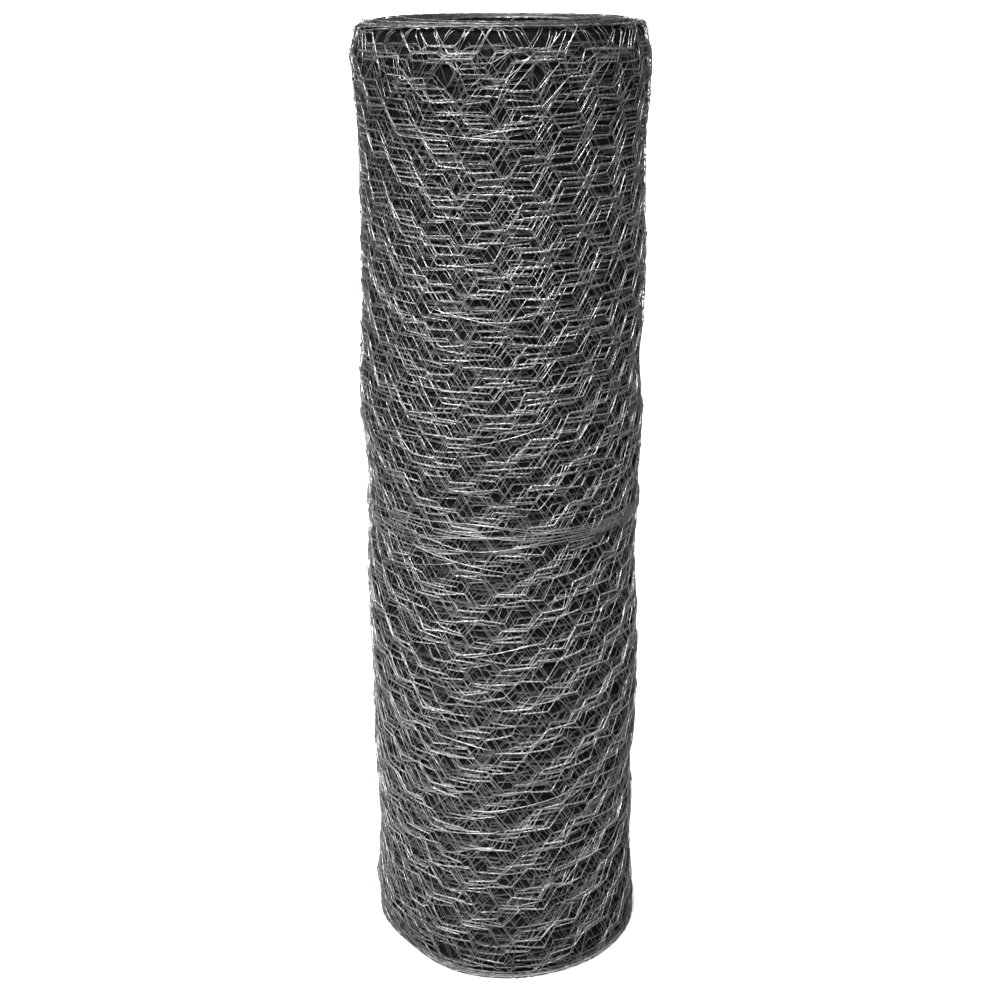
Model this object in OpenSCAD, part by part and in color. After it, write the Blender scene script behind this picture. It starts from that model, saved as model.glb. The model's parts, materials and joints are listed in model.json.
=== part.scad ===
// Roll of hexagonal wire netting (chicken wire) standing on one end, held shut by a wire tie.
// Millimetres. The origin is the centre of the lower end, and +Z runs up the axis of the roll.

/* [Netting] */
// Width of the netting, which is the height of the standing roll
netting_width = 610; // [300:5:1830]
// Length of netting wound on the roll
netting_length = 15240; // [7600:20:46000]
// Diameter of the galvanised wire
wire_d = 0.65; // [0.5:0.05:1.2]
// Depth of the selvage, from the edge wire to the start of the mesh
selvage_depth = 4; // [3:0.5:8]

/* [Winding] */
// Bore that the winding mandrel leaves
bore_d = 80; // [40:1:160]
// Space that the winding leaves between the edge wires of neighbouring turns
turn_gap = 0.63; // [0.3:0.01:1]
// How far the edges of the turns stand out of line at each end
edge_scatter = 1.5; // [0:0.1:2]

/* [Outline] */
// Height of the band at each end that the edge wires hold straight
rim_band = 5; // [3:0.5:10]
// How far the upper selvage draws its end in, on the radius
rim_draw = 2.8; // [0:0.1:4]
// How far the shoulder under the upper end stands out, on the radius
shoulder_bulge = 1.9; // [0:0.1:4]
// Distance of the shoulder's crest from the upper end
shoulder_at = 22; // [15:1:35]
// How far the slack neck under the shoulder falls in, on the radius
neck_draw = 0.5; // [0:0.1:3]
// Distance of the neck from the upper end
neck_at = 70; // [50:1:120]
// How far the bellies above and below the tie stand out, on the radius
belly_bulge = 1.5; // [0:0.1:4]
// Distance of the upper belly from the tie
belly_at = 55; // [30:1:80]
// Height of the ankle, the slack place above the foot
ankle_at = 75; // [50:1:110]
// How far the lower end spreads under the weight of the roll, on the radius
foot_spread = 2.4; // [0:0.1:4]
// Height of the spread foot
foot_height = 28; // [15:1:40]

/* [Tie wire] */
// Diameter of the tie wire
tie_wire_d = 0.7; // [0.6:0.05:1.6]
// Turns of the tie wire round the roll
tie_turns = 7; // [2:1:9]
// Space between neighbouring turns of the tie wire
tie_gap = 0.7; // [0.2:0.1:2]
// Height of the tie's middle above the middle of the roll
tie_offset = 9; // [-40:1:40]
// How far the tie pulls the waist in, on the radius
waist_draw = 0.6; // [0:0.1:3]
// Length of the twisted tail that fastens the two ends of the tie wire
tail_length = 22; // [12:1:40]
// Clearance between the tie wire and what it lies on
tie_clearance = 0.05; // [0.02:0.01:0.2]

/* [Hidden] */

// The length of netting fixes the outside of the winding, one pitch for each turn.
turn_pitch = wire_d + turn_gap;
bore_r = bore_d / 2;
mean_r = sqrt(bore_r * bore_r + netting_length * turn_pitch / PI);
turns = round((mean_r - bore_r) / turn_pitch);
rim_r = mean_r - rim_draw;
foot_r = mean_r + foot_spread;
edge_round = wire_d * 0.3;
golden_angle = 137.5;

// The tie is a helix on the waist, in straight steps that stay clear of the roll.
waist_r = mean_r - waist_draw;
tie_height = netting_width / 2 + tie_offset;
tie_rise = tie_wire_d + tie_gap;
tie_low = tie_height - tie_turns * tie_rise / 2;
tie_high = tie_height + tie_turns * tie_rise / 2;
tie_steps = 40;
tie_sides = 6;
tie_r = (waist_r + tie_clearance + tie_wire_d / 2) / cos(180 / tie_steps);

// The two ends leave the helix at the back of the roll and twist together above the band.
back_angle = 90;
lead_angle = 8;
lead_steps = 10;
tail_lay = 8 * tie_wire_d;
tail_steps = ceil(tail_length / tail_lay * 8);
tail_foot = tie_high + 4 * tie_wire_d;
tail_strand_r = (tie_wire_d / 2 + tie_clearance) / cos(180 / tie_sides);
tail_axis_r = tie_r + tie_wire_d + tail_strand_r;

// Outline of the winding, as [height, radius] from the lower end to the upper one
waist_margin = tie_wire_d;
outline = [
    [rim_band, foot_r],
    [foot_height, foot_r],
    [ankle_at, mean_r],
    [(ankle_at + tie_height) / 2, mean_r + belly_bulge],
    [tie_low - waist_margin, waist_r],
    [tie_high + waist_margin, waist_r],
    [tie_high + belly_at, mean_r + belly_bulge],
    [netting_width - neck_at, mean_r - neck_draw],
    [netting_width - shoulder_at, mean_r + shoulder_bulge],
    [netting_width - rim_band, rim_r]
];
outline_steps = 6;

// Smooth stretch of the outline from one of its points to the next, as [radius, height]
function stretch(a, b) =
    a[1] == b[1] ? [[a[1], a[0]]] : [
        for (i = [0 : outline_steps - 1])
            let (share = i / outline_steps, swell = (1 - cos(180 * share)) / 2)
            [a[1] + (b[1] - a[1]) * swell, a[0] + (b[0] - a[0]) * share]
    ];

// How far the edge of a turn lies inside the end of the roll. Turn 0 is the outermost.
function edge_drop(turn) = edge_scatter * (1 - cos(turn * golden_angle)) / 2;

// Edge wire of one turn in section, as [radius, depth inside the end], from its outer side inwards.
// The turns of that end lie evenly between the bore and end_r.
function turn_edge(turn, end_r) =
    let (
        edge_pitch = (end_r - bore_r - wire_d) / (turns - 1),
        outer = end_r - turn * edge_pitch,
        inner = outer - wire_d,
        drop = edge_drop(turn),
        crown = [
            [outer, drop + edge_round],
            [outer - edge_round, drop],
            [inner + edge_round, drop],
            [inner, drop + edge_round]
        ]
    )
    concat(
        [[outer, turn == 0 ? rim_band : selvage_depth]],
        crown,
        turn == turns - 1 ? [] : [[inner, selvage_depth]]
    );

// Section of the wound netting: up the outside, in across the upper end, out across the lower one
module roll_section() {
    upper_edges = [for (turn = [0 : turns - 1]) each turn_edge(turn, rim_r)];
    lower_edges = [for (turn = [0 : turns - 1]) each turn_edge(turn, foot_r)];
    outside = [for (i = [0 : len(outline) - 2]) each stretch(outline[i], outline[i + 1])];
    upper_end = [for (p = upper_edges) [p[0], netting_width - p[1]]];
    lower_end = [for (i = [len(lower_edges) - 1 : -1 : 1]) lower_edges[i]];
    polygon(concat(outside, upper_end, lower_end));
}

module netting_roll() {
    color([0.42, 0.43, 0.43])
        rotate_extrude($fn = 96)
            roll_section();
}

// Share of the way from 0 to 1 as t runs from start to end, with a soft beginning and ending
function eased(t, start, end) =
    let (share = min(1, max(0, (t - start) / (end - start))))
    (1 - cos(180 * share)) / 2;

// The same, with a brisk beginning at 0 and a soft ending
function landed(t, end) = sin(90 * min(1, t / end));

function cylindrical(angle, r, z) = [r * cos(angle), r * sin(angle), z];

// One strand of the twisted tail, from its foot up. Side is -1 or 1.
function tail_strand(side) = [
    for (i = [0 : tail_steps])
        let (turned = i * 45, z = tail_foot + i * tail_length / tail_steps)
        [side * tail_strand_r * cos(turned), tail_axis_r + side * tail_strand_r * sin(turned), z]
];
foot_angle = atan(tail_strand_r / tail_axis_r);

// Way from the foot of the tail to the lower end of the helix, over the turns of the band
lower_lead = [
    for (i = [1 : lead_steps - 1])
        let (t = i / lead_steps)
        cylindrical(
            back_angle + foot_angle + (lead_angle - foot_angle) * eased(t, 0.1, 1),
            tail_axis_r + (tie_r - tail_axis_r) * eased(t, 0.6, 1),
            tail_foot + (tie_low - tail_foot) * landed(t, 0.6)
        )
];

// Way from the foot of the tail to the upper end of the helix
upper_lead = [
    for (i = [1 : lead_steps - 1])
        let (t = i / lead_steps)
        cylindrical(
            back_angle - foot_angle - (lead_angle - foot_angle) * eased(t, 0.1, 1),
            tail_axis_r + (tie_r - tail_axis_r) * eased(t, 0.4, 1),
            tail_foot + (tie_high - tail_foot) * landed(t, 0.7)
        )
];

// Helix of the band, between the two leads
helix_start = back_angle + lead_angle;
helix_turn = 360 * tie_turns - 2 * lead_angle;
helix_steps = ceil(helix_turn / 360 * tie_steps);
helix = [
    for (i = [0 : helix_steps])
        let (share = i / helix_steps)
        cylindrical(helix_start + helix_turn * share, tie_r, tie_low + (tie_high - tie_low) * share)
];

function backwards(list) = [for (i = [len(list) - 1 : -1 : 0]) list[i]];
function unit(v) = v / norm(v);

// Ring of points round one point of a path, square to the way that the path runs there
function ring(path, i, r, sides) =
    let (
        ahead = path[min(i + 1, len(path) - 1)],
        behind = path[max(i - 1, 0)],
        along = unit(ahead - behind),
        outwards = [path[i][0], path[i][1], 0],
        side = unit(cross(along, outwards)),
        up = cross(side, along)
    )
    [for (k = [0 : sides - 1]) path[i] + r * (cos(k * 360 / sides) * up + sin(k * 360 / sides) * side)];

// Wire of radius r along a path
module wire(path, r, sides) {
    rings = len(path);
    points = [for (i = [0 : rings - 1]) each ring(path, i, r, sides)];
    walls = [
        for (i = [0 : rings - 2], k = [0 : sides - 1])
            let (next = (k + 1) % sides)
            each [
                [i * sides + k, i * sides + next, (i + 1) * sides + next],
                [i * sides + k, (i + 1) * sides + next, (i + 1) * sides + k]
            ]
    ];
    first_cap = [for (k = [sides - 1 : -1 : 0]) k];
    last_cap = [for (k = [0 : sides - 1]) (rings - 1) * sides + k];
    polyhedron(points, concat(walls, [first_cap, last_cap]));
}

module waist_tie() {
    route = concat(
        backwards(tail_strand(-1)),
        lower_lead,
        helix,
        backwards(upper_lead),
        tail_strand(1)
    );
    color([0.55, 0.56, 0.56])
        wire(route, tie_wire_d / 2, tie_sides);
}

netting_roll();
waist_tie();
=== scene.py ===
# %% [markdown]
# # A standing roll of chicken wire
#
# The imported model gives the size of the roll: one turned solid for the wound netting, with a wire tie
# round its waist. A solid can't show what makes chicken wire what it is, which is thousands of thin wires
# twisted together in pairs. This lesson winds the netting itself, turn by turn, inside the same outline.

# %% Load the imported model
import json
import math

import bmesh
import bpy
import numpy as np
from mathutils import Matrix, Vector


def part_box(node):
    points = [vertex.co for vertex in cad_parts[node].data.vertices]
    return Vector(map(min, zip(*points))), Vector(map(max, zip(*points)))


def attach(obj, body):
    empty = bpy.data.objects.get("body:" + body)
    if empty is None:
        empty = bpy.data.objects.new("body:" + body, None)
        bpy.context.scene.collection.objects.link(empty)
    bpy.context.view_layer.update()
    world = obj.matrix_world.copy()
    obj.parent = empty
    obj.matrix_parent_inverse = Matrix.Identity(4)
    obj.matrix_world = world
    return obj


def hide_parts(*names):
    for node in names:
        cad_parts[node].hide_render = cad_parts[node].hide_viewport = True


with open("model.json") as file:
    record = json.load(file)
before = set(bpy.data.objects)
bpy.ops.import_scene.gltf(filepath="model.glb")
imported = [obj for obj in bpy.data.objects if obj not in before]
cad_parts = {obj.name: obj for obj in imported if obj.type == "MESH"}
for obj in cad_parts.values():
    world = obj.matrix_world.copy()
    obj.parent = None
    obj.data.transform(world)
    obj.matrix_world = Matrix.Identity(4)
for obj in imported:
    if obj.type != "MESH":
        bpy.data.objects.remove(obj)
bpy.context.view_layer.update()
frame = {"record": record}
roll_low, roll_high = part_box("netting_roll")
roll_height = roll_high.z - roll_low.z
mounts = {mount["name"]: mount for mount in frame["record"]["mounts"]}
bore_r = mounts["core_bore"]["dims"]["r_mm"] / 1000
print("roll", round(roll_height, 4), "m high, bore radius", bore_r)

# %% [markdown]
# The camera comes first, because every piece is seen through it. It could be placed by eye. Here its
# distance, height and focal length were worked out from the roll's outline: the upper end is seen almost
# edge-on and the lower end from well above, so the camera stands close and looks a little down.

# %% Camera
camera_place = Vector((0.0004, -0.990, 0.6544))
camera_down = math.radians(19.33)
camera_turn = math.radians(0.18)
camera_roll = math.radians(-0.36)
picture_px = 1000
focal_px = 1594

camera_data = bpy.data.cameras.new("photo_camera")
camera_data.sensor_width = 36.0
camera_data.lens = camera_data.sensor_width * focal_px / picture_px
camera = bpy.data.objects.new("photo_camera", camera_data)
bpy.context.scene.collection.objects.link(camera)
camera.matrix_world = (
    Matrix.Translation(camera_place)
    @ Matrix.Rotation(camera_turn, 4, "Z")
    @ Matrix.Rotation(math.pi / 2 - camera_down, 4, "X")
    @ Matrix.Rotation(camera_roll, 4, "Z")
)
bpy.context.scene.camera = camera
print("lens", round(camera_data.lens, 2), "mm")

# %% [markdown]
# Thin bright wires need one strong light and little else: a wire glints along the line where it mirrors
# the light, and the gaps behind it stay dark. In the photograph the slopes that glint lean one way on the
# left and the other way on the right, which only a light above the camera does. A sun lamp with a wide
# angle is that light, because it falls evenly on the whole height of the roll and on the floor. Weaker
# lamps fill the other sides.

# %% Lamps
def add_sun(name, came_from, strength, wide_degrees):
    sun_data = bpy.data.lights.new(name, "SUN")
    sun_data.energy = strength
    sun_data.angle = math.radians(wide_degrees)
    sun = bpy.data.objects.new(name, sun_data)
    sun.rotation_euler = (-Vector(came_from)).to_track_quat("-Z", "Y").to_euler()
    bpy.context.scene.collection.objects.link(sun)
    print(name, "shines with", strength)


add_sun("key_above_camera", came_from=(-0.22, -0.66, 1.00), strength=3.5, wide_degrees=12.0)
add_sun("second_above_left", came_from=(-0.85, -0.50, 0.90), strength=1.35, wide_degrees=20.0)
add_sun("third_above_right", came_from=(0.85, -0.50, 0.90), strength=0.6, wide_degrees=20.0)
add_sun("fill_behind", came_from=(-0.4, 0.9, 0.9), strength=0.9, wide_degrees=40.0)

# %% [markdown]
# The room is a pale studio. To the camera it is white, but its own light on the wires is kept low, or
# every wire would mirror it from all sides and the gaps would fill up. One world can do both, because the
# light path tells whether the camera meets it or a wire does.

# %% Studio
white = (1.0, 1.0, 1.0, 1.0)
room_tint = (0.97, 1.0, 0.96, 1.0)
room_strength = 0.20


def add_node(tree, kind, **settings):
    node = tree.nodes.new(kind)
    for name, value in settings.items():
        setattr(node, name, value)
    return node


studio = bpy.data.worlds.new("pale_studio")
studio.use_nodes = True
studio_tree = studio.node_tree
studio_tree.nodes.clear()
seen_wall = add_node(studio_tree, "ShaderNodeBackground")
seen_wall.inputs["Color"].default_value = white
seen_wall.inputs["Strength"].default_value = 1.0
room_light = add_node(studio_tree, "ShaderNodeBackground")
room_light.inputs["Color"].default_value = room_tint
room_light.inputs["Strength"].default_value = room_strength
light_path = add_node(studio_tree, "ShaderNodeLightPath")
seen_or_lit = add_node(studio_tree, "ShaderNodeMixShader")
world_output = add_node(studio_tree, "ShaderNodeOutputWorld")
studio_tree.links.new(light_path.outputs["Is Camera Ray"], seen_or_lit.inputs["Fac"])
studio_tree.links.new(room_light.outputs["Background"], seen_or_lit.inputs[1])
studio_tree.links.new(seen_wall.outputs["Background"], seen_or_lit.inputs[2])
studio_tree.links.new(seen_or_lit.outputs["Shader"], world_output.inputs["Surface"])
bpy.context.scene.world = studio
bpy.context.scene.view_settings.view_transform = "Standard"
print("room light", room_strength)

# %% [markdown]
# The floor is a plain pale sheet that is no part of the roll. It has to be white in the picture and still
# not throw its light up into the netting, so the light path is used again: the wires meet a darker floor
# than the camera does. From just outside the roll a glow lifts the floor to the white of the studio, and
# the shade stays where the roll stands.

# %% Floor
floor_half_width = 60.0
floor_to_wires = (0.14, 0.14, 0.14, 1.0)
floor_to_camera = (0.85, 0.85, 0.85, 1.0)
shade_reach = 0.086
glow_reach = 0.099
glow_strength = 0.95


def add_range(tree, start, end, at_start, at_end, **settings):
    node = add_node(tree, "ShaderNodeMapRange", **settings)
    node.inputs["From Min"].default_value = start
    node.inputs["From Max"].default_value = end
    node.inputs["To Min"].default_value = at_start
    node.inputs["To Max"].default_value = at_end
    return node


floor_bm = bmesh.new()
bmesh.ops.create_grid(floor_bm, x_segments=1, y_segments=1, size=floor_half_width)
floor_mesh = bpy.data.meshes.new("studio_floor")
floor_bm.to_mesh(floor_mesh)
floor_bm.free()
floor = bpy.data.objects.new("studio_floor", floor_mesh)
bpy.context.scene.collection.objects.link(floor)
floor_paint = bpy.data.materials.new("pale_floor_paint")
floor_paint.use_nodes = True
floor_tree = floor_paint.node_tree
floor_shader = floor_tree.nodes["Principled BSDF"]
floor_shader.inputs["Roughness"].default_value = 0.9
floor_shader.inputs["Specular IOR Level"].default_value = 0.0
floor_shader.inputs["Emission Color"].default_value = white
floor_seen = add_node(floor_tree, "ShaderNodeLightPath")
floor_tone = add_node(floor_tree, "ShaderNodeMix", data_type="RGBA")
floor_tone.inputs["A"].default_value = floor_to_wires
floor_tone.inputs["B"].default_value = floor_to_camera
floor_place = add_node(floor_tree, "ShaderNodeTexCoord")
floor_reach = add_node(floor_tree, "ShaderNodeVectorMath", operation="LENGTH")
floor_lift = add_range(floor_tree, shade_reach, glow_reach, 0.0, glow_strength)
floor_glow = add_node(floor_tree, "ShaderNodeMath", operation="MULTIPLY")
floor_tree.links.new(floor_seen.outputs["Is Camera Ray"], floor_tone.inputs["Factor"])
floor_tree.links.new(floor_tone.outputs["Result"], floor_shader.inputs["Base Color"])
floor_tree.links.new(floor_place.outputs["Object"], floor_reach.inputs[0])
floor_tree.links.new(floor_reach.outputs["Value"], floor_lift.inputs["Value"])
floor_tree.links.new(floor_lift.outputs["Result"], floor_glow.inputs[0])
floor_tree.links.new(floor_seen.outputs["Is Camera Ray"], floor_glow.inputs[1])
floor_tree.links.new(floor_glow.outputs["Value"], floor_shader.inputs["Emission Strength"])
floor_mesh.materials.append(floor_paint)
print("floor", 2 * floor_half_width, "m wide")

# %% [markdown]
# Galvanised wire is steel with a skin of zinc. New zinc is bright and has a fine crystal spangle; handled
# and stored wire has dull grey patches where the zinc has weathered. Both could be painted as images. A
# node group does it from the wire's own place in space, so that every wire of the roll gets its own
# stretch of bright and dull zinc. The group also darkens all zinc towards the foot, a painted shade where
# the roll stands on the floor, and a little towards the rim, and makes it rougher below the tie. The group
# gives a colour, a roughness and a height for the bump. Each material sets its own range with the inputs,
# and also how bright it is below the tie.

# %% Zinc skin, a node group for every wire
patch_scale = 55.0
spangle_scale = 700.0
spangle_share = 0.18
dull_below = 0.32
bright_above = 0.66
# Towards the foot all zinc is darkened, a painted shade where the roll stands on the floor; near the rim it
# is only made a little darker.
foot_shade_height = 0.11
foot_brightness = 0.66
head_dark_from = 0.51
head_dark_to = 0.58
head_brightness = 0.86
tie_fade_low = 0.26
tie_fade_high = 0.44
rough_height = 0.20
smooth_height = 0.42
foot_roughness = 1.4

zinc_skin = bpy.data.node_groups.new("zinc_skin", "ShaderNodeTree")
for name in ("Dull", "Bright"):
    zinc_skin.interface.new_socket(name=name, in_out="INPUT", socket_type="NodeSocketColor")
for name in ("Smoothest", "Roughest", "Below the tie"):
    zinc_skin.interface.new_socket(name=name, in_out="INPUT", socket_type="NodeSocketFloat")
zinc_skin.interface.new_socket(name="Colour", in_out="OUTPUT", socket_type="NodeSocketColor")
zinc_skin.interface.new_socket(name="Roughness", in_out="OUTPUT", socket_type="NodeSocketFloat")
zinc_skin.interface.new_socket(name="Height", in_out="OUTPUT", socket_type="NodeSocketFloat")

skin_in = add_node(zinc_skin, "NodeGroupInput")
skin_out = add_node(zinc_skin, "NodeGroupOutput")
skin_place = add_node(zinc_skin, "ShaderNodeTexCoord")
skin_height = add_node(zinc_skin, "ShaderNodeSeparateXYZ")
weathered = add_node(zinc_skin, "ShaderNodeTexNoise")
weathered.inputs["Scale"].default_value = patch_scale
weathered.inputs["Detail"].default_value = 3.0
weathered.inputs["Roughness"].default_value = 0.6
spangle = add_node(zinc_skin, "ShaderNodeTexVoronoi")
spangle.inputs["Scale"].default_value = spangle_scale
skin_mix = add_node(zinc_skin, "ShaderNodeMix", data_type="FLOAT")
skin_mix.inputs["Factor"].default_value = spangle_share
skin_range = add_range(zinc_skin, dull_below, bright_above, 0.0, 1.0)
skin_colour = add_node(zinc_skin, "ShaderNodeMix", data_type="RGBA")
# Painted shade at the foot, and a plain darkening near the rim.
foot_painted_shade = add_range(zinc_skin, 0.0, foot_shade_height, foot_brightness, 1.0)
head_darkening = add_range(zinc_skin, head_dark_from, head_dark_to, 1.0, head_brightness)
ends_darkening = add_node(zinc_skin, "ShaderNodeMath", operation="MULTIPLY")
below_tie_tone = add_range(zinc_skin, tie_fade_low, tie_fade_high, 0.0, 1.0, interpolation_type="SMOOTHSTEP")
all_tone_factors = add_node(zinc_skin, "ShaderNodeMath", operation="MULTIPLY")
scaled_colour = add_node(zinc_skin, "ShaderNodeVectorMath", operation="SCALE")
skin_rough = add_node(zinc_skin, "ShaderNodeMix", data_type="FLOAT")
foot_roughening = add_range(zinc_skin, rough_height, smooth_height, foot_roughness, 1.0)
roughened = add_node(zinc_skin, "ShaderNodeMath", operation="MULTIPLY")

join = zinc_skin.links.new
join(skin_place.outputs["Object"], weathered.inputs["Vector"])
join(skin_place.outputs["Object"], spangle.inputs["Vector"])
join(skin_place.outputs["Object"], skin_height.inputs["Vector"])
join(weathered.outputs["Fac"], skin_mix.inputs["A"])
join(spangle.outputs["Color"], skin_mix.inputs["B"])
join(skin_mix.outputs["Result"], skin_range.inputs["Value"])
join(skin_mix.outputs["Result"], skin_out.inputs["Height"])
join(skin_range.outputs["Result"], skin_colour.inputs["Factor"])
join(skin_in.outputs["Dull"], skin_colour.inputs["A"])
join(skin_in.outputs["Bright"], skin_colour.inputs["B"])
join(skin_height.outputs["Z"], foot_painted_shade.inputs["Value"])
join(skin_height.outputs["Z"], head_darkening.inputs["Value"])
join(skin_height.outputs["Z"], below_tie_tone.inputs["Value"])
join(skin_in.outputs["Below the tie"], below_tie_tone.inputs["To Min"])
join(foot_painted_shade.outputs["Result"], ends_darkening.inputs[0])
join(head_darkening.outputs["Result"], ends_darkening.inputs[1])
join(ends_darkening.outputs["Value"], all_tone_factors.inputs[0])
join(below_tie_tone.outputs["Result"], all_tone_factors.inputs[1])
join(skin_colour.outputs["Result"], scaled_colour.inputs[0])
join(all_tone_factors.outputs["Value"], scaled_colour.inputs["Scale"])
join(scaled_colour.outputs["Vector"], skin_out.inputs["Colour"])
join(skin_range.outputs["Result"], skin_rough.inputs["Factor"])
join(skin_in.outputs["Roughest"], skin_rough.inputs["A"])
join(skin_in.outputs["Smoothest"], skin_rough.inputs["B"])
join(skin_height.outputs["Z"], foot_roughening.inputs["Value"])
join(skin_rough.outputs["Result"], roughened.inputs[0])
join(foot_roughening.outputs["Result"], roughened.inputs[1])
join(roughened.outputs["Value"], skin_out.inputs["Roughness"])
print("zinc skin has", len(zinc_skin.nodes), "nodes")

# %% [markdown]
# Six materials wear that skin. The outermost turns are bright all the way down. The turns just under them
# are as bright above the tie and darker below it, a painted shade, so that the outermost hexagons stand out
# there. Deep turns get a darker zinc and the wires sunk deepest at the ends a near-black one, both painted
# shade; the exposed selvages get a zinc of their own, and the tie is a soft wire of its own.

# %% Zinc materials
grain_strength = 0.10
grain_height = 0.0002


def zinc_material(name, dull, bright, smoothest, roughest, below_tie=1.0):
    material = bpy.data.materials.new(name)
    material.use_nodes = True
    tree = material.node_tree
    shader = tree.nodes["Principled BSDF"]
    shader.inputs["Metallic"].default_value = 1.0
    skin = add_node(tree, "ShaderNodeGroup", node_tree=zinc_skin)
    skin.inputs["Dull"].default_value = (*dull, 1.0)
    skin.inputs["Bright"].default_value = (*bright, 1.0)
    skin.inputs["Smoothest"].default_value = smoothest
    skin.inputs["Roughest"].default_value = roughest
    skin.inputs["Below the tie"].default_value = below_tie
    tree.links.new(skin.outputs["Colour"], shader.inputs["Base Color"])
    tree.links.new(skin.outputs["Roughness"], shader.inputs["Roughness"])
    grain = add_node(tree, "ShaderNodeBump")
    grain.inputs["Strength"].default_value = grain_strength
    grain.inputs["Distance"].default_value = grain_height
    tree.links.new(skin.outputs["Height"], grain.inputs["Height"])
    tree.links.new(grain.outputs["Normal"], shader.inputs["Normal"])
    print(name, "is ready")
    return material


netting_zinc = zinc_material(
    "netting_zinc", dull=(0.43, 0.44, 0.43), bright=(0.86, 0.87, 0.85),
    smoothest=0.26, roughest=0.42, below_tie=1.12,
)
# Below the tie this zinc is darkened, a painted shade under the outermost turn.
under_zinc = zinc_material(
    "under_zinc", dull=(0.48, 0.49, 0.48), bright=(0.90, 0.91, 0.89),
    smoothest=0.27, roughest=0.43, below_tie=0.76,
)
# A darker zinc, painted shade for the deep turns and the bore lining.
shaded_inner_zinc = zinc_material(
    "shaded_inner_zinc", dull=(0.24, 0.25, 0.24), bright=(0.56, 0.57, 0.555),
    smoothest=0.34, roughest=0.5, below_tie=0.8,
)
selvage_zinc = zinc_material(
    "selvage_zinc", dull=(0.14, 0.145, 0.14), bright=(0.66, 0.67, 0.66), smoothest=0.34, roughest=0.52,
)
# A near-black zinc, painted shade for the wires sunk deepest at the ends.
deep_shade_zinc = zinc_material(
    "deep_shade_zinc", dull=(0.05, 0.053, 0.05), bright=(0.22, 0.23, 0.22), smoothest=0.50, roughest=0.66,
)
tie_zinc = zinc_material(
    "tie_zinc", dull=(0.36, 0.37, 0.36), bright=(0.76, 0.77, 0.76), smoothest=0.30, roughest=0.46,
)

# %% [markdown]
# Chicken wire is woven from wires that run the whole length of the netting. Each wire is twisted with its
# upper neighbour for a short way, slopes down, is twisted with its lower neighbour, slopes up, and so on.
# That makes hexagons whose twisted sides lie along the length, which is round the roll. The photograph
# repeats about every 28 mm up the roll and every 25 mm round it, which is a one-inch mesh pulled a little
# wide. The netting has one edge wire pair, the selvage, along each side. A twist looks fullest where its
# wires lie side by side, with zinc gathered in the groove between them, and thinnest where one wire hides
# the other.

# %% Measures of the netting
wire_d = 0.00054
twist_r = 0.66 * wire_d
slope_fullness = 0.92
thinnest_twist = 0.80
fullest_twist = 1.28
mesh_width = 0.0277
column_step = 0.0253
twist_length = 0.0168
row_count = round(roll_height / mesh_width)
wire_count = 2 * row_count
flat_width = row_count * mesh_width
free_end_angle = math.radians(115)
print(row_count, "rows of hexagons,", wire_count, "wires")

# %% [markdown]
# The roll isn't a plain cylinder. The upper selvage is shorter than the netting beside it, so it draws the
# rim in and the netting swells just under it. Then the netting sinks to a neck, swells to a belly on each
# side of the tie, and spreads at the foot where it carries the roll. The outline could be a curve object.
# A function of the height is easier to use, because every wire has to ask it for its radius. Each point is
# a height and how far the roll stands out there from its mean radius.

# %% Outline of the roll
mean_r = 0.08837
tie_middle = 0.314
tie_half_height = 0.0056
rim = (roll_height, -0.0026)
rim_foot = (roll_height - 0.005, -0.0006)
shoulder = (roll_height - 0.022, 0.0019)
neck = (roll_height - 0.070, -0.0005)
upper_belly = (tie_middle + 0.060, 0.0015)
waist_top = (tie_middle + tie_half_height, -0.0006)
waist_foot = (tie_middle - tie_half_height, -0.0006)
lower_belly = (0.195, 0.0015)
ankle = (0.075, 0.0)
foot_top = (0.028, 0.0024)
foot = (0.0, 0.0024)
lower_points = [foot, foot_top, ankle, lower_belly, waist_foot]
upper_points = [waist_top, upper_belly, neck, shoulder, rim_foot, rim]
outline_heights = np.array([height for height, swell in lower_points + upper_points])
outline_swells = np.array([swell for height, swell in lower_points + upper_points])


def outline(z):
    after = np.clip(np.searchsorted(outline_heights, z), 1, len(outline_heights) - 1)
    start = outline_heights[after - 1]
    share = np.clip((z - start) / (outline_heights[after] - start), 0, 1)
    eased = (1 - np.cos(np.pi * share)) / 2
    return mean_r + outline_swells[after - 1] * (1 - eased) + outline_swells[after] * eased


print("shoulder radius", round(float(outline(np.array([shoulder[0]]))[0]), 5))

# %% [markdown]
# A roll that has been handled also has dents and bulges. They were read off the left and right edges of
# the photograph: where, how high, how far in or out, and how far each one reaches round and up. The
# largest dent is at the lower left, where the netting has been pushed under. Azimuth 0 faces the camera
# and 90 is its right. The last three are at the back, made up to match.

# %% Dents and bulges
left, right, front, front_left = -90, 90, 0, -53
dents_and_bulges = [
    (left, 0.385, 0.0026, 45, 0.032),
    (right, 0.405, -0.0032, 45, 0.020),
    (left, 0.268, 0.0028, 45, 0.045),
    (right, 0.272, -0.0018, 45, 0.025),
    (left, 0.130, 0.0012, 45, 0.035),
    (right, 0.122, -0.0024, 40, 0.018),
    (right, 0.478, 0.0012, 40, 0.016),
    (left, 0.592, 0.0016, 35, 0.012),
    (right, 0.050, -0.0020, 40, 0.025),
    (left, 0.028, 0.0014, 30, 0.014),
    (front, 0.0, 0.0010, 50, 0.016),
    (front_left, 0.0, -0.0070, 25, 0.024),
    (150, 0.450, 0.0018, 40, 0.030),
    (200, 0.180, -0.0020, 40, 0.025),
    (170, 0.530, -0.0015, 40, 0.020),
]


def azimuth_of(angle):
    return (np.degrees(angle) + 90 + 180) % 360 - 180


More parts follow.
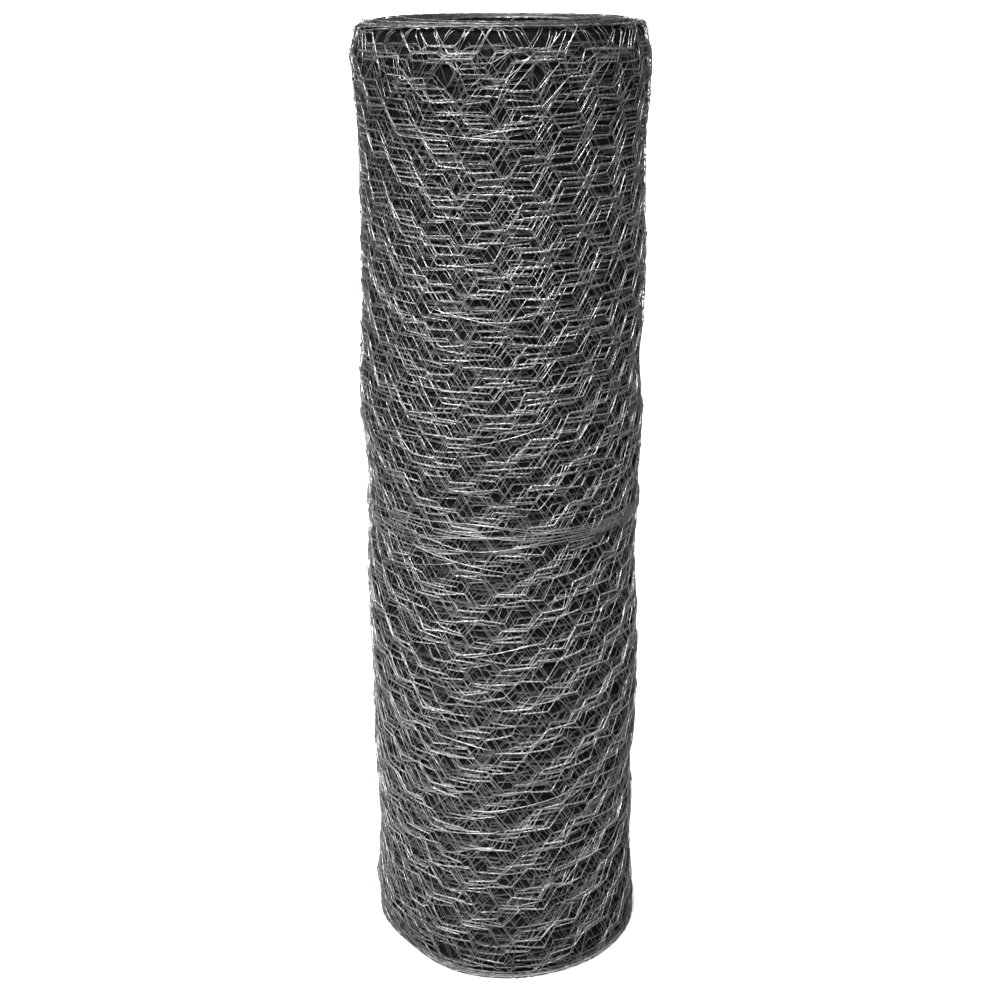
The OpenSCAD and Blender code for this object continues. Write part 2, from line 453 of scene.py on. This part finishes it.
def handled(angle, z):
    total = np.zeros(np.broadcast(angle, z).shape)
    for azimuth, height, push, reach_round, reach_up in dents_and_bulges:
        away = (azimuth_of(angle) - azimuth + 180) % 360 - 180
        total = total + push * np.exp(-((away / reach_round) ** 2) - ((z - height) / reach_up) ** 2)
    return total


print(len(dents_and_bulges), "dents and bulges")

# %% [markdown]
# The turns lie between the bore and that outline. The tie and the tightness of the winding press the outer
# turns into each other's hexagons, so they lie much closer than a wire's thickness. Only at the two ends
# do the selvages, which can't sink into anything, keep the turns apart. At the lower end they lie evenly
# between the bore and the outside. At the upper end the first few crowd together behind the rim, so that
# the slopes of several turns show under it.

# %% Radius of a turn
turn_count = 38
outer_turns = 19
bore_turns = 4
loose_turns = 8
loose_step = 0.00021
pressed_step = 0.00010
winding_depth = mean_r - bore_r
end_height = 0.0032
crowded_turns = 6
crowded_step = 0.00075


def smooth_step(value):
    share = np.clip(value, 0, 1)
    return share * share * (3 - 2 * share)


def turn_radius(turns_in, angle, z):
    loose_depth = loose_turns * loose_step / winding_depth
    outer_depth = loose_depth + (outer_turns - loose_turns) * pressed_step / winding_depth
    bore_depth = bore_turns * loose_step / winding_depth
    known_turns = [0, loose_turns, outer_turns, turn_count - bore_turns, turn_count]
    known_depths = [0, loose_depth, outer_depth, 1 - bore_depth, 1]
    pressed = smooth_step(np.minimum(z, roll_height - z) / end_height)
    inwards = turns_in / turn_count
    crowded_depth = crowded_turns * crowded_step / winding_depth
    crowded = np.interp(turns_in, [0, crowded_turns, turn_count], [0, crowded_depth, 1])
    at_end = np.where(z > roll_height / 2, crowded, inwards)
    depth = at_end * (1 - pressed) + np.interp(turns_in, known_turns, known_depths) * pressed
    outermost = outline(z) + handled(angle, z) * (1 - inwards)
    innermost = bore_r + wire_d
    return outermost - (outermost - innermost) * depth


pressed_depth = float(turn_radius(0, 0.0, tie_middle) - turn_radius(outer_turns, 0.0, tie_middle))
print("the outer", outer_turns, "turns are pressed into", round(pressed_depth, 4), "m")

# %% [markdown]
# No wire lies exactly where the weaving machine put it. The netting is pulled and pressed as it is wound,
# so rows wander up and down, columns lean, and wires stand off the roll. Noise for each wire would tear
# the twisted pairs apart, so the wandering comes from smooth fields over the whole winding: a few sine
# waves each, with their lengths, directions and phases drawn from a seeded generator, so that every run
# winds the same roll.

# %% Smooth random fields over the winding
def ripple(seed, round_lengths, up_lengths, waves=7):
    rng = np.random.default_rng(seed)
    round_rate = 2 * np.pi * mean_r * 2 * np.pi / rng.uniform(*round_lengths, waves)
    up_rate = 2 * np.pi / rng.uniform(*up_lengths, waves) * rng.choice([-1, 1], waves)
    phase = rng.uniform(0, 2 * np.pi, waves)

    def field(turns_in, z):
        total = np.zeros(np.broadcast(turns_in, z).shape)
        for across, up, start in zip(round_rate, up_rate, phase):
            total = total + np.sin(across * turns_in + up * z + start)
        return total * math.sqrt(2 / waves)

    return field


row_wander = ripple(11, round_lengths=(0.08, 0.30), up_lengths=(0.07, 0.30))
row_jitter = ripple(12, round_lengths=(0.01, 0.03), up_lengths=(0.02, 0.05))
column_wander = ripple(13, round_lengths=(0.10, 0.30), up_lengths=(0.08, 0.25))
column_jitter = ripple(14, round_lengths=(0.01, 0.03), up_lengths=(0.02, 0.05))
loft = ripple(15, round_lengths=(0.035, 0.10), up_lengths=(0.035, 0.10))
edge_wander = ripple(17, round_lengths=(0.10, 0.40), up_lengths=(8.0, 9.0))
print("fields are ready")

# %% [markdown]
# The turns don't lie at random on each other either. In the upper half of the roll the columns of twists
# of all outer turns stand one behind the other, each a few millimetres above the last, so the twists read
# as stacks of lines with dark diamonds between. Lower down, each turn has slipped sideways by its own
# amount and the hexagons cross each other freely. Lists of one number for each turn hold that.

# %% How each turn lies on the next
lift_step = 0.382
lift_range = 0.84
lift_jitter = 0.04
phase_spread = 0.13
most_phase = 0.28
most_slip = 0.9
stagger_columns = 8
alike_turns = 6

turn_rng = np.random.default_rng(5)
every_turn = np.arange(turn_count)
turn_lift = mesh_width * ((every_turn * lift_step + 0.5) % 1 * lift_range - lift_range / 2)
turn_lift = turn_lift + turn_rng.uniform(-lift_jitter, lift_jitter, turn_count) * mesh_width
turn_phase = np.clip(turn_rng.normal(0, phase_spread, turn_count), -most_phase, most_phase)
turn_slip = turn_rng.uniform(-most_slip, most_slip, turn_count)


def columns_in(turn):
    middle_r = mean_r - (mean_r - bore_r) * max(turn - alike_turns, 0) / turn_count
    return int(round(math.pi * middle_r / column_step)) * 2


print("columns of the outermost turn", columns_in(0), "and of the innermost", columns_in(turn_count - 1))

# %% [markdown]
# The edges of the turns don't end level. At the upper end a few turns stand a little proud, which hides
# the bore from a low eye, and the outer turns droop at the left and at the right. At the lower end the
# selvages of the first turns under the outermost one hang a few millimetres higher and show as lines above
# the foot.

# %% Edges of the turns
edge_clearance = 0.0006
edge_scatter = 0.0016
upper_scatter_share = 0.4
alternate_share = 0.35
edge_wander_share = 0.12
ends_apart = 8.0
golden_angle = math.radians(137.5)
rim_stand = 0.0012
between = 0.0008
second_stand = 0.0022
third_stand = 0.0028
proud_turns = [0, 1.2, 1.5, 9.75, 10.1, 10.7, 11, 23.8, 24.1, 24.7, 25, turn_count]
outer_heights = [rim_stand, rim_stand, between, between, second_stand, second_stand]
inner_heights = [between, between, third_stand, third_stand, between, between]
proud_heights = outer_heights + inner_heights
raised_turns = [0, 0.9, 1.7, 2.6, 3.5, 4.5, 6, turn_count]
raised_heights = [0, 0.0005, 0.0042, 0.0020, 0.0070, 0.0030, 0.0005, 0.0005]
left_droop = 0.0028
right_droop = 0.0020
droop_reach = 38
droop_turns = 14
corner_droop = 0.0028
corner_azimuth = -78
corner_reach = 32
corner_turns = 1.4


def bell(value, middle, reach):
    return np.exp(-(((value - middle) / reach) ** 2))


def edge_height(turns_in, upper):
    neighbours = 0.5 - alternate_share * np.cos(golden_angle * turns_in)
    uneven = np.clip(neighbours + edge_wander_share * edge_wander(turns_in, ends_apart * upper), 0, 1)
    drop = edge_clearance + np.where(upper, upper_scatter_share, 1.0) * edge_scatter * uneven
    proud = np.interp(turns_in, proud_turns, proud_heights)
    raised = np.interp(turns_in, raised_turns, raised_heights)
    azimuth = azimuth_of(free_end_angle + 2 * np.pi * turns_in)
    drooped = left_droop * bell(azimuth, left, droop_reach) + right_droop * bell(azimuth, right, droop_reach)
    drooped = drooped * np.clip(1 - turns_in / droop_turns, 0, 1)
    cornered = corner_droop * bell(azimuth, corner_azimuth, corner_reach)
    drooped = drooped + cornered * np.clip(corner_turns - turns_in, 0, 1)
    return np.where(upper, roll_height - drop + proud - drooped, drop + raised)


print("the upper edge starts at", round(float(edge_height(0.0, 1)), 4), "m")

# %% [markdown]
# One turn of netting is a set of paths, one for each wire. Wire is stiff, so it stays straight along a
# twist and straight along a slope, and only the two ends of each twist wander. Those ends are placed
# first, and both wires of a twist share them. Between them the path winds round the middle of the twist or
# slopes to the next. The place in the flat netting is wound up: the way along becomes an angle, the way
# across becomes a height, and the turn gives the radius. Wandering and slipping grow towards the foot, and
# near both edges the netting settles into line with its selvage.

# %% Paths of the wires in one turn
row_wander_reach = 0.0016
row_jitter_reach = 0.0008
column_wander_share = 0.06
column_jitter_share = 0.05
loft_reach = 0.0002
upper_settle = 0.026
lower_settle = 0.012
settle_power = 1.5
tight_wander = 0.55
loose_wander = 0.85
loose_at_foot = 1.1
loose_fall = 1.6
slip_at_foot = 1.2
slip_power = 1.6
rim_slip = 0.6
rim_slip_from = 0.94
rim_slip_rise = 0.04


def netting_paths(turn, wires, twist_steps, slope_steps, twist_turns):
    columns = columns_in(turn)
    half_twist = twist_length / column_step / 2
    in_twist = np.linspace(-half_twist, half_twist, twist_steps + 1)
    in_slope = np.linspace(half_twist, 1 - half_twist, slope_steps + 1)[1:-1]
    along = np.concatenate([in_twist, in_slope])
    column = np.arange(columns + 1)[:, None]
    side = np.where(column % 2 == 0, 1.0, -1.0)
    slope_share = np.clip((along - half_twist) / (1 - 2 * half_twist), 0, 1)
    twist_share = np.clip((along + half_twist) / (2 * half_twist), 0, 1)
    place = (column + along).ravel()
    wave = (side * (1 - 2 * slope_share)).ravel()
    turned = 2 * np.pi * twist_turns * twist_share
    side_by_side = np.cos(turned) ** 2
    fullness = thinnest_twist + (fullest_twist - thinnest_twist) * side_by_side
    fullness = np.where((twist_share > 0) & (twist_share < 1), fullness, slope_fullness)
    fullness = np.tile(fullness, columns + 1)
    turned = np.tile(turned, columns + 1)

    end_column = np.repeat(np.arange(columns + 2), 2)
    end_place = end_column + np.tile([-half_twist, half_twist], columns + 2)
    end_side = np.where(end_column % 2 == 0, 1.0, -1.0)
    end_turns = turn + end_place / columns
    low_edge = edge_height(end_turns, 0)
    high_edge = edge_height(end_turns, 1)

    paths = []
    for wire in wires:
        lean = 1 if wire % 2 == 0 else -1
        flat = (wire + 0.5) * mesh_width / 2 + lean * end_side * mesh_width / 4
        share_up = flat / flat_width
        from_edges = np.minimum(flat / lower_settle, (flat_width - flat) / upper_settle)
        settled = np.clip(from_edges, 0, 1) ** settle_power
        loosened = tight_wander + np.clip(loose_at_foot - loose_fall * share_up, 0, loose_wander)
        wandering = row_wander_reach * row_wander(end_turns, flat)
        wandering = wandering + row_jitter_reach * row_jitter(end_turns, flat)
        end_z = low_edge + (high_edge - low_edge) * share_up
        end_z = end_z + settled * (turn_lift[turn] + loosened * wandering)
        end_z = np.clip(end_z, low_edge, high_edge)
        slipping = np.clip(slip_at_foot - share_up, 0, 1) ** slip_power
        slipping = slipping + rim_slip * np.clip((share_up - rim_slip_from) / rim_slip_rise, 0, 1)
        slipped = turn_phase[turn] + turn_slip[turn] * slipping
        leaning = column_wander_share * column_wander(end_turns, flat)
        leaning = leaning + column_jitter_share * column_jitter(end_turns, flat)
        end_column_place = end_place + stagger_columns * turn + slipped + loosened * leaning
        end_angle = free_end_angle + 2 * np.pi * end_column_place / columns
        end_loft = loft_reach * loft(end_turns, flat)

        angle = np.interp(place, end_place, end_angle)
        z = np.interp(place, end_place, end_z) - lean * wave * twist_r * np.cos(turned)
        r = turn_radius(turn + place / columns, angle, z) + np.interp(place, end_place, end_loft)
        r = r - lean * wave * twist_r * np.sin(turned)
        paths.append(np.stack([r * np.cos(angle), r * np.sin(angle), z, fullness], axis=1))
    return paths


print("a twist is", twist_length, "m long and a slope rises", mesh_width / 2, "m")

# %% [markdown]
# A wire is a round section drawn along its path. Skinning each ring by hand would mean long lists of
# faces; a curve with a bevel does the same, so each turn is drawn as one curve of many splines and then
# made a mesh. Among the turns only the outermost gets a four-sided section. Those under it make do with
# three sides, which nobody can tell from a round wire there.

# %% From paths to a mesh of wires
def section_curve(name, sides, radius):
    section = bpy.data.curves.new(name, "CURVE")
    section.dimensions = "2D"
    ring = section.splines.new("POLY")
    ring.points.add(sides - 1)
    ring.use_cyclic_u = True
    for i, point in enumerate(ring.points):
        angle = 2 * math.pi * i / sides
        point.co = (radius * math.cos(angle), radius * math.sin(angle), 0.0, 1.0)
    section_object = bpy.data.objects.new(name, section)
    bpy.context.scene.collection.objects.link(section_object)
    return section_object


def wires_piece(name, paths, radius, sides, material):
    section = section_curve(name + "_section", sides, radius)
    curve = bpy.data.curves.new(name + "_path", "CURVE")
    curve.dimensions = "3D"
    curve.bevel_mode = "OBJECT"
    curve.bevel_object = section
    curve.use_fill_caps = True
    for path in paths:
        spline = curve.splines.new("POLY")
        spline.points.add(len(path) - 1)
        spline.points.foreach_set("co", np.column_stack([path[:, :3], np.ones(len(path))]).ravel())
        if path.shape[1] == 4:
            spline.points.foreach_set("radius", path[:, 3].copy())
    drawn = bpy.data.objects.new(name + "_path", curve)
    bpy.context.scene.collection.objects.link(drawn)
    depsgraph = bpy.context.evaluated_depsgraph_get()
    mesh = bpy.data.meshes.new_from_object(drawn.evaluated_get(depsgraph))
    mesh.name = name
    bpy.data.objects.remove(drawn)
    bpy.data.objects.remove(section)
    piece = bpy.data.objects.new(name, mesh)
    bpy.context.scene.collection.objects.link(piece)
    mesh.materials.clear()
    mesh.materials.append(material)
    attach(piece, "root")
    triangles = sum(len(polygon.vertices) - 2 for polygon in mesh.polygons)
    print(name, triangles, "triangles")
    return piece


# %% [markdown]
# The outermost turn is what the eye meets first. Both wires of each twist are there, three times round
# each other, as on the real netting. The turns just under it are made the same way with fewer steps. The
# wires that reach the two ends get more steps on their slopes, because they lie close on the roll until
# just before the selvage and only then bend in to it.

# %% Outer turns
all_wires = range(wire_count)
end_wires = (0, wire_count - 1)
middle_wires = range(1, wire_count - 1)
end_slope_steps = 4


def turn_paths(turn, twist_steps, slope_steps, twist_turns):
    middle_paths = netting_paths(turn, middle_wires, twist_steps, slope_steps, twist_turns)
    return middle_paths + netting_paths(turn, end_wires, twist_steps, end_slope_steps, twist_turns)


def netting_piece(name, paths, sides, material):
    return wires_piece(name, paths, wire_d / 2, sides, material)


bright_turns = 3
twisted_turns = 5
outer_paths = turn_paths(0, twist_steps=18, slope_steps=2, twist_turns=3)
outer_turn = netting_piece("netting_turn_00", outer_paths, sides=4, material=netting_zinc)
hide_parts("netting_roll")
for turn in range(1, twisted_turns):
    material = netting_zinc if turn < bright_turns else under_zinc
    paths = turn_paths(turn, twist_steps=12, slope_steps=2, twist_turns=3)
    netting_piece(f"netting_turn_{turn:02d}", paths, sides=3, material=material)

# %% [markdown]
# Deeper turns are seen only in glimpses, so their twists get fewer steps and then become straight pairs.
# From the ninth turn on, little light reaches the wires, and a darker zinc paints that shade on them.

# %% Deeper turns
def straight_paths(turns, wires, twist_steps):
    paths = []
    for turn in turns:
        paths.extend(netting_paths(turn, wires, twist_steps, slope_steps=1, twist_turns=0))
    return paths


for turn in range(twisted_turns, loose_turns):
    paths = turn_paths(turn, twist_steps=6, slope_steps=1, twist_turns=1.5)
    netting_piece(f"netting_turn_{turn:02d}", paths, sides=3, material=under_zinc)
deep_paths = straight_paths(range(loose_turns, outer_turns), all_wires, twist_steps=1)
netting_piece("netting_turns_08_18", deep_paths, sides=3, material=shaded_inner_zinc)

# %% [markdown]
# Of the inner turns only the edges show, between the selvages. Winding them whole would cost triangles
# that nobody sees, so only the two wires nearest to each edge are drawn. The innermost turns line the bore,
# where an eye above the roll meets them, and they are wound whole.

# %% Inner turns
edge_wires = [0, 1, wire_count - 2, wire_count - 1]
first_bore_turn = turn_count - bore_turns
edge_paths = straight_paths(range(outer_turns, first_bore_turn), edge_wires, twist_steps=1)
# The inner edges get the near-black zinc, painted shade between the selvages.
netting_piece("netting_inner_edges", edge_paths, sides=3, material=deep_shade_zinc)
bore_paths = straight_paths(range(first_bore_turn, turn_count), all_wires, twist_steps=2)
# The bore turns get the darker zinc, painted shade inside the bore.
netting_piece("netting_bore_turns", bore_paths, sides=3, material=shaded_inner_zinc)

# %% [markdown]
# The selvage is a pair of wires twisted together along each edge of the netting. Wound up, it is one long
# spiral on each end of the roll, and it is what the hand meets there. The turns that stand proud at the
# upper end and those that hang above the foot keep a plain zinc; the rest, sunk between them, get a
# near-black zinc that is painted shade. So each end is wound in stretches of two finishes, and what lies
# between the exposed ones is dark.

# %% Selvages
selvage_wire_d = 0.00046
selvage_steps = 72
selvage_twists = 22
last_turn = turn_count - 0.02


def selvage_pair(first, last, upper):
    turns_in = np.linspace(first, last, math.ceil((last - first) * selvage_steps))
    z = edge_height(turns_in, upper)
    angle = free_end_angle + 2 * np.pi * turns_in
    r = turn_radius(turns_in, angle, z)
    turned = 2 * np.pi * selvage_twists * turns_in
    pair = []
    for half in (0, np.pi):
        wire_r = r + selvage_wire_d / 2 * np.cos(turned + half)
        wire_z = z + selvage_wire_d / 2 * np.sin(turned + half)
        pair.append(np.stack([wire_r * np.cos(angle), wire_r * np.sin(angle), wire_z], axis=1))
    return pair


def selvage_piece(name, paths, material):
    return wires_piece(name, paths, selvage_wire_d / 2, 4, material)


def selvage_pieces(end, upper, exposed_stretches):
    exposed_paths = []
    shaded_paths = []
    shaded_from = 0
    for exposed_from, exposed_to in exposed_stretches:
        exposed_paths.extend(selvage_pair(exposed_from, exposed_to, upper))
        if exposed_from > shaded_from:
            shaded_paths.extend(selvage_pair(shaded_from, exposed_from, upper))
        shaded_from = exposed_to
    if last_turn > shaded_from:
        shaded_paths.extend(selvage_pair(shaded_from, last_turn, upper))
    # The pieces named dull carry the near-black zinc, painted shade.
    selvage_piece(f"selvage_{end}_exposed", exposed_paths, selvage_zinc)
    selvage_piece(f"selvage_{end}_dull", shaded_paths, deep_shade_zinc)


# Stretches that stand proud or hang above the foot; between them the selvage gets painted shade.
exposed_above_foot = [(1.2, 4.6)]
exposed_on_rim = [(0, 1.3), (9.9, 10.9), (23.9, 24.9), (36.0, last_turn)]
selvage_pieces("lower", upper=0, exposed_stretches=exposed_above_foot)
selvage_pieces("upper", upper=1, exposed_stretches=exposed_on_rim)

# %% [markdown]
# Under the outer turns lie as many others, and no eye can follow their wires. A dark tube stands for them;
# its near-black colour is painted shade.
# Its section is spun round the axis, it draws in at the foot where the turns spread apart, and the dents
# and bulges of the netting are pressed into it too. Its faces also get flat coordinates, as if it were
# unrolled: metres round and metres up.

# %% Dark inner winding
core_sink = 0.0031
lower_draw = 0.0025
core_draw_height = 0.014
core_end = 0.0012
core_inner_r = bore_r + 0.0021
fine_height = 0.02
fine_steps = 6
core_steps = 60
core_sides = 120
bore_margin = 0.001
merge_distance = 1e-6
core_heights = np.concatenate([
    np.linspace(core_end, fine_height, fine_steps)[:-1],
    np.linspace(fine_height, roll_height - fine_height, core_steps),
    np.linspace(roll_height - fine_height, roll_height - core_end, fine_steps)[1:],
])
lower_draws = lower_draw * (1 - smooth_step(core_heights / core_draw_height))
core_radii = outline(core_heights) - core_sink - lower_draws
core_bm = bmesh.new()
section_verts = [core_bm.verts.new((r, 0, z)) for r, z in zip(core_radii, core_heights)]
section_verts.append(core_bm.verts.new((core_inner_r, 0, core_heights[-1])))
section_verts.append(core_bm.verts.new((core_inner_r, 0, core_end)))
section_edges = []
for i in range(len(section_verts)):
    section_edges.append(core_bm.edges.new((section_verts[i - 1], section_verts[i])))
bmesh.ops.spin(
    core_bm, geom=section_verts + section_edges, cent=(0, 0, 0), axis=(0, 0, 1),
    angle=2 * math.pi, steps=core_sides, use_merge=True, use_duplicate=False,
)
bmesh.ops.remove_doubles(core_bm, verts=core_bm.verts[:], dist=merge_distance)
bmesh.ops.recalc_face_normals(core_bm, faces=core_bm.faces[:])
for vert in core_bm.verts:
    spread = math.hypot(vert.co.x, vert.co.y)
    if spread > core_inner_r + bore_margin:
        push = float(handled(np.array(math.atan2(vert.co.y, vert.co.x)), np.array(vert.co.z)))
        vert.co.x *= 1 + push / spread
        vert.co.y *= 1 + push / spread
unrolled = core_bm.loops.layers.uv.new("unrolled")
for face in core_bm.faces:
    middle = face.calc_center_median()
    middle_angle = math.atan2(middle.y, middle.x)
    for loop in face.loops:
        angle = math.atan2(loop.vert.co.y, loop.vert.co.x)
        angle = middle_angle + (angle - middle_angle + math.pi) % (2 * math.pi) - math.pi
        loop[unrolled].uv = (angle * mean_r, loop.vert.co.z)
core_mesh = bpy.data.meshes.new("inner_winding")
core_bm.to_mesh(core_mesh)
core_bm.free()
inner_winding = bpy.data.objects.new("inner_winding", core_mesh)
bpy.context.scene.collection.objects.link(inner_winding)
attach(inner_winding, "root")
print("inner winding reaches radius", round(float(core_radii.max()), 4))

# %% [markdown]
# What is glimpsed of the wires down there is a pattern in the tube's colour: three sets of thin stripes,
# two steep and one level, broken up by noise. Each set is a wave texture on the unrolled coordinates,
# turned to its lean and cut down to its crests. A wave texture of scale 1 runs through 20 radians in a
# metre, and a stripe takes a full circle, which gives the scale for one stripe in a metre.

# %% Deep wires
stripe_sets = [(68.0, 210.0), (-66.0, 230.0), (2.0, 260.0)]
scale_per_stripe = 2 * math.pi / 20
noise_per_stripe = 0.4
crest_from = 0.86
crest_full = 0.97
# Both colours are near-black: painted shade deep in the winding, with the glimpsed wires only a little
# lighter.
shaded_gap_colour = (0.013, 0.014, 0.013, 1.0)
shaded_line_colour = (0.021, 0.022, 0.021, 1.0)
deep_wires_painted_shade = bpy.data.materials.new("deep_wires_painted_shade")
deep_wires_painted_shade.use_nodes = True
deep_tree = deep_wires_painted_shade.node_tree
deep_shader = deep_tree.nodes["Principled BSDF"]
deep_shader.inputs["Roughness"].default_value = 0.7
deep_shader.inputs["Specular IOR Level"].default_value = 0.0
deep_place = add_node(deep_tree, "ShaderNodeUVMap", uv_map="unrolled")
any_line = None
for lean_degrees, stripes_per_metre in stripe_sets:
    turned_place = add_node(deep_tree, "ShaderNodeMapping")
    turned_place.inputs["Rotation"].default_value = (0, 0, math.radians(lean_degrees))
    stripes = add_node(deep_tree, "ShaderNodeTexWave", bands_direction="Y")
    stripes.inputs["Scale"].default_value = stripes_per_metre * scale_per_stripe
    stripes.inputs["Distortion"].default_value = 1.2
    stripes.inputs["Detail Scale"].default_value = 0.4
    line = add_range(deep_tree, crest_from, crest_full, 0.0, 1.0)
    broken = add_node(deep_tree, "ShaderNodeTexNoise")
    broken.inputs["Scale"].default_value = stripes_per_metre * noise_per_stripe
    kept = add_node(deep_tree, "ShaderNodeMath", operation="GREATER_THAN")
    kept.inputs[1].default_value = 0.5
    shown = add_node(deep_tree, "ShaderNodeMath", operation="MULTIPLY")
    deep_tree.links.new(deep_place.outputs["UV"], turned_place.inputs["Vector"])
    deep_tree.links.new(turned_place.outputs["Vector"], stripes.inputs["Vector"])
    deep_tree.links.new(turned_place.outputs["Vector"], broken.inputs["Vector"])
    deep_tree.links.new(stripes.outputs["Fac"], line.inputs["Value"])
    deep_tree.links.new(broken.outputs["Fac"], kept.inputs[0])
    deep_tree.links.new(line.outputs["Result"], shown.inputs[0])
    deep_tree.links.new(kept.outputs["Value"], shown.inputs[1])
    if any_line is None:
        any_line = shown
    else:
        either_line = add_node(deep_tree, "ShaderNodeMath", operation="MAXIMUM")
        deep_tree.links.new(any_line.outputs["Value"], either_line.inputs[0])
        deep_tree.links.new(shown.outputs["Value"], either_line.inputs[1])
        any_line = either_line
deep_colour = add_node(deep_tree, "ShaderNodeMix", data_type="RGBA")
deep_colour.inputs["A"].default_value = shaded_gap_colour
deep_colour.inputs["B"].default_value = shaded_line_colour
deep_tree.links.new(any_line.outputs["Value"], deep_colour.inputs["Factor"])
deep_tree.links.new(deep_colour.outputs["Result"], deep_shader.inputs["Base Color"])
core_mesh.materials.append(deep_wires_painted_shade)
print(len(stripe_sets), "sets of stripes")

# %% [markdown]
# The tie is one soft wire, wound several times round the waist and fastened by twisting its two ends
# together at the back. On the right its turns lie side by side, and in front they fan out and cross on the
# way to the left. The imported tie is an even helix, so a wire on nearly the same helix replaces it, a hair
# lower, with each turn pushed up or down by its own amount where the fan is.

# %% Waist tie
tie_wire_d = 0.0005
tie_turns = 7
tie_rise = 0.00122
tie_sag = 0.0015
lead_turn = math.radians(8)
back_angle = math.radians(90)
tail_length = 0.022
tail_lay = 8 * tie_wire_d
tail_rise = 4 * tie_wire_d
tail_steps = 40
lead_points = 8
tie_steps = 64
tie_above = 0.0010
tail_above = 0.0022
tail_strand_r = tie_wire_d * 0.55
lead_bulge = 1.012
fan_azimuth, fan_reach = -12, 22
far_fan_azimuth, far_fan_reach = -48, 24
fan_offsets = np.array([-0.0040, 0.0035, -0.0075, 0.0010, 0.0075, -0.0010, 0.0055])
far_fan_offsets = np.array([-0.0065, 0.0085, 0.0020, -0.0030, 0.0060, -0.0085, 0.0030])


def on_netting(angle, z, above):
    return outline(z) + handled(angle, z) + above


run = np.linspace(0, 1, tie_steps * tie_turns + 1)
helix_angle = back_angle + lead_turn + (2 * np.pi * tie_turns - 2 * lead_turn) * run
turn_of_tie = np.clip(((helix_angle - back_angle) / (2 * np.pi)).astype(int), 0, tie_turns - 1)
fan = bell(azimuth_of(helix_angle), fan_azimuth, fan_reach)
far_fan = bell(azimuth_of(helix_angle), far_fan_azimuth, far_fan_reach)
helix_z = tie_middle - tie_sag + tie_rise * tie_turns * (run - 0.5)
helix_z = helix_z + fan * fan_offsets[turn_of_tie] + far_fan * far_fan_offsets[turn_of_tie]
helix_r = on_netting(helix_angle, helix_z, tie_above)
helix_path = np.stack([helix_r * np.cos(helix_angle), helix_r * np.sin(helix_angle), helix_z], axis=1)

tail_foot = helix_z[-1] + tail_rise
tail_axis_r = float(on_netting(np.array([back_angle]), np.array([tail_foot]), 0)[0]) + tail_above
climb = np.linspace(0, 1, tail_steps + 1)
lay_angle = 2 * np.pi * tail_length / tail_lay * climb
tails = []
for side in (-1, 1):
    tail_x = side * tail_strand_r * np.cos(lay_angle)
    tail_y = tail_axis_r + side * tail_strand_r * np.sin(lay_angle)
    tails.append(np.stack([tail_x, tail_y, tail_foot + tail_length * climb], axis=1))
lead_share = np.linspace(0, 1, lead_points)[1:-1, None]


def lead(start, end):
    middle = (start + end) / 2 * np.array([lead_bulge, lead_bulge, 1.0])
    return start * (1 - lead_share) ** 2 + 2 * middle * lead_share * (1 - lead_share) + end * lead_share**2


tie_path = np.concatenate([
    tails[0][::-1],
    lead(tails[0][0], helix_path[0]),
    helix_path,
    lead(helix_path[-1], tails[1][0]),
    tails[1],
])
waist_tie = wires_piece("waist_tie_wire", [tie_path], tie_wire_d / 2, 6, tie_zinc)
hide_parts("waist_tie")

# %% [markdown]
# A few single wires have sprung out of the weave and lie across the outermost turn, most of them long and
# nearly straight. The photograph shows where the ones in front run. Each is given by the azimuth and
# height of its two ends, and the ends are tucked in under the netting. The other sides get some of the
# same kind, drawn from a seeded generator.

# %% Loose wires
loose_ends = [
    (-45.6, 0.5557, 19.2, 0.5487),
    (-17.6, 0.5491, 15.4, 0.5577),
    (-29.0, 0.4535, 8.3, 0.4407),
    (-35.1, 0.4218, -21.8, 0.4193),
    (-15.0, 0.3712, 18.2, 0.3847),
    (-42.3, 0.3034, 7.5, 0.2893),
    (-17.9, 0.2330, 16.1, 0.2446),
    (-30.9, 0.1779, -4.5, 0.1700),
    (-12.4, 0.1249, 27.8, 0.1353),
    (-37.3, 0.1052, -2.7, 0.1106),
]
other_sides = np.linspace(60, 300, 13)
lowest_start, highest_start = 0.06, 0.55
shortest_degrees, longest_degrees = 16, 50
most_rise = 0.014
loose_rng = np.random.default_rng(8)
for around in other_sides:
    start_height = loose_rng.uniform(lowest_start, highest_start)
    length_degrees = loose_rng.uniform(shortest_degrees, longest_degrees)
    rise = loose_rng.uniform(-most_rise, most_rise)
    loose_ends.append((around, start_height, around + length_degrees, start_height + rise))

loose_wire_d = 0.0005
loose_above = 0.0011
loose_points = 22
most_bow = 0.0012
tuck_depth = 0.0025
tuck_share = 0.05
loose_paths = []
for start_azimuth, start_z, end_azimuth, end_z in loose_ends:
    share = np.linspace(0, 1, loose_points)
    angle = np.radians(start_azimuth + (end_azimuth - start_azimuth) * share - 90)
    bowed = loose_rng.uniform(-most_bow, most_bow) * np.sin(np.pi * share)
    z = start_z + (end_z - start_z) * share + bowed
    tucked = tuck_depth * (bell(share, 0, tuck_share) + bell(share, 1, tuck_share))
    r = on_netting(angle, z, loose_above) - tucked
    loose_paths.append(np.stack([r * np.cos(angle), r * np.sin(angle), z], axis=1))
wires_piece("loose_wires", loose_paths, loose_wire_d / 2, 6, netting_zinc)
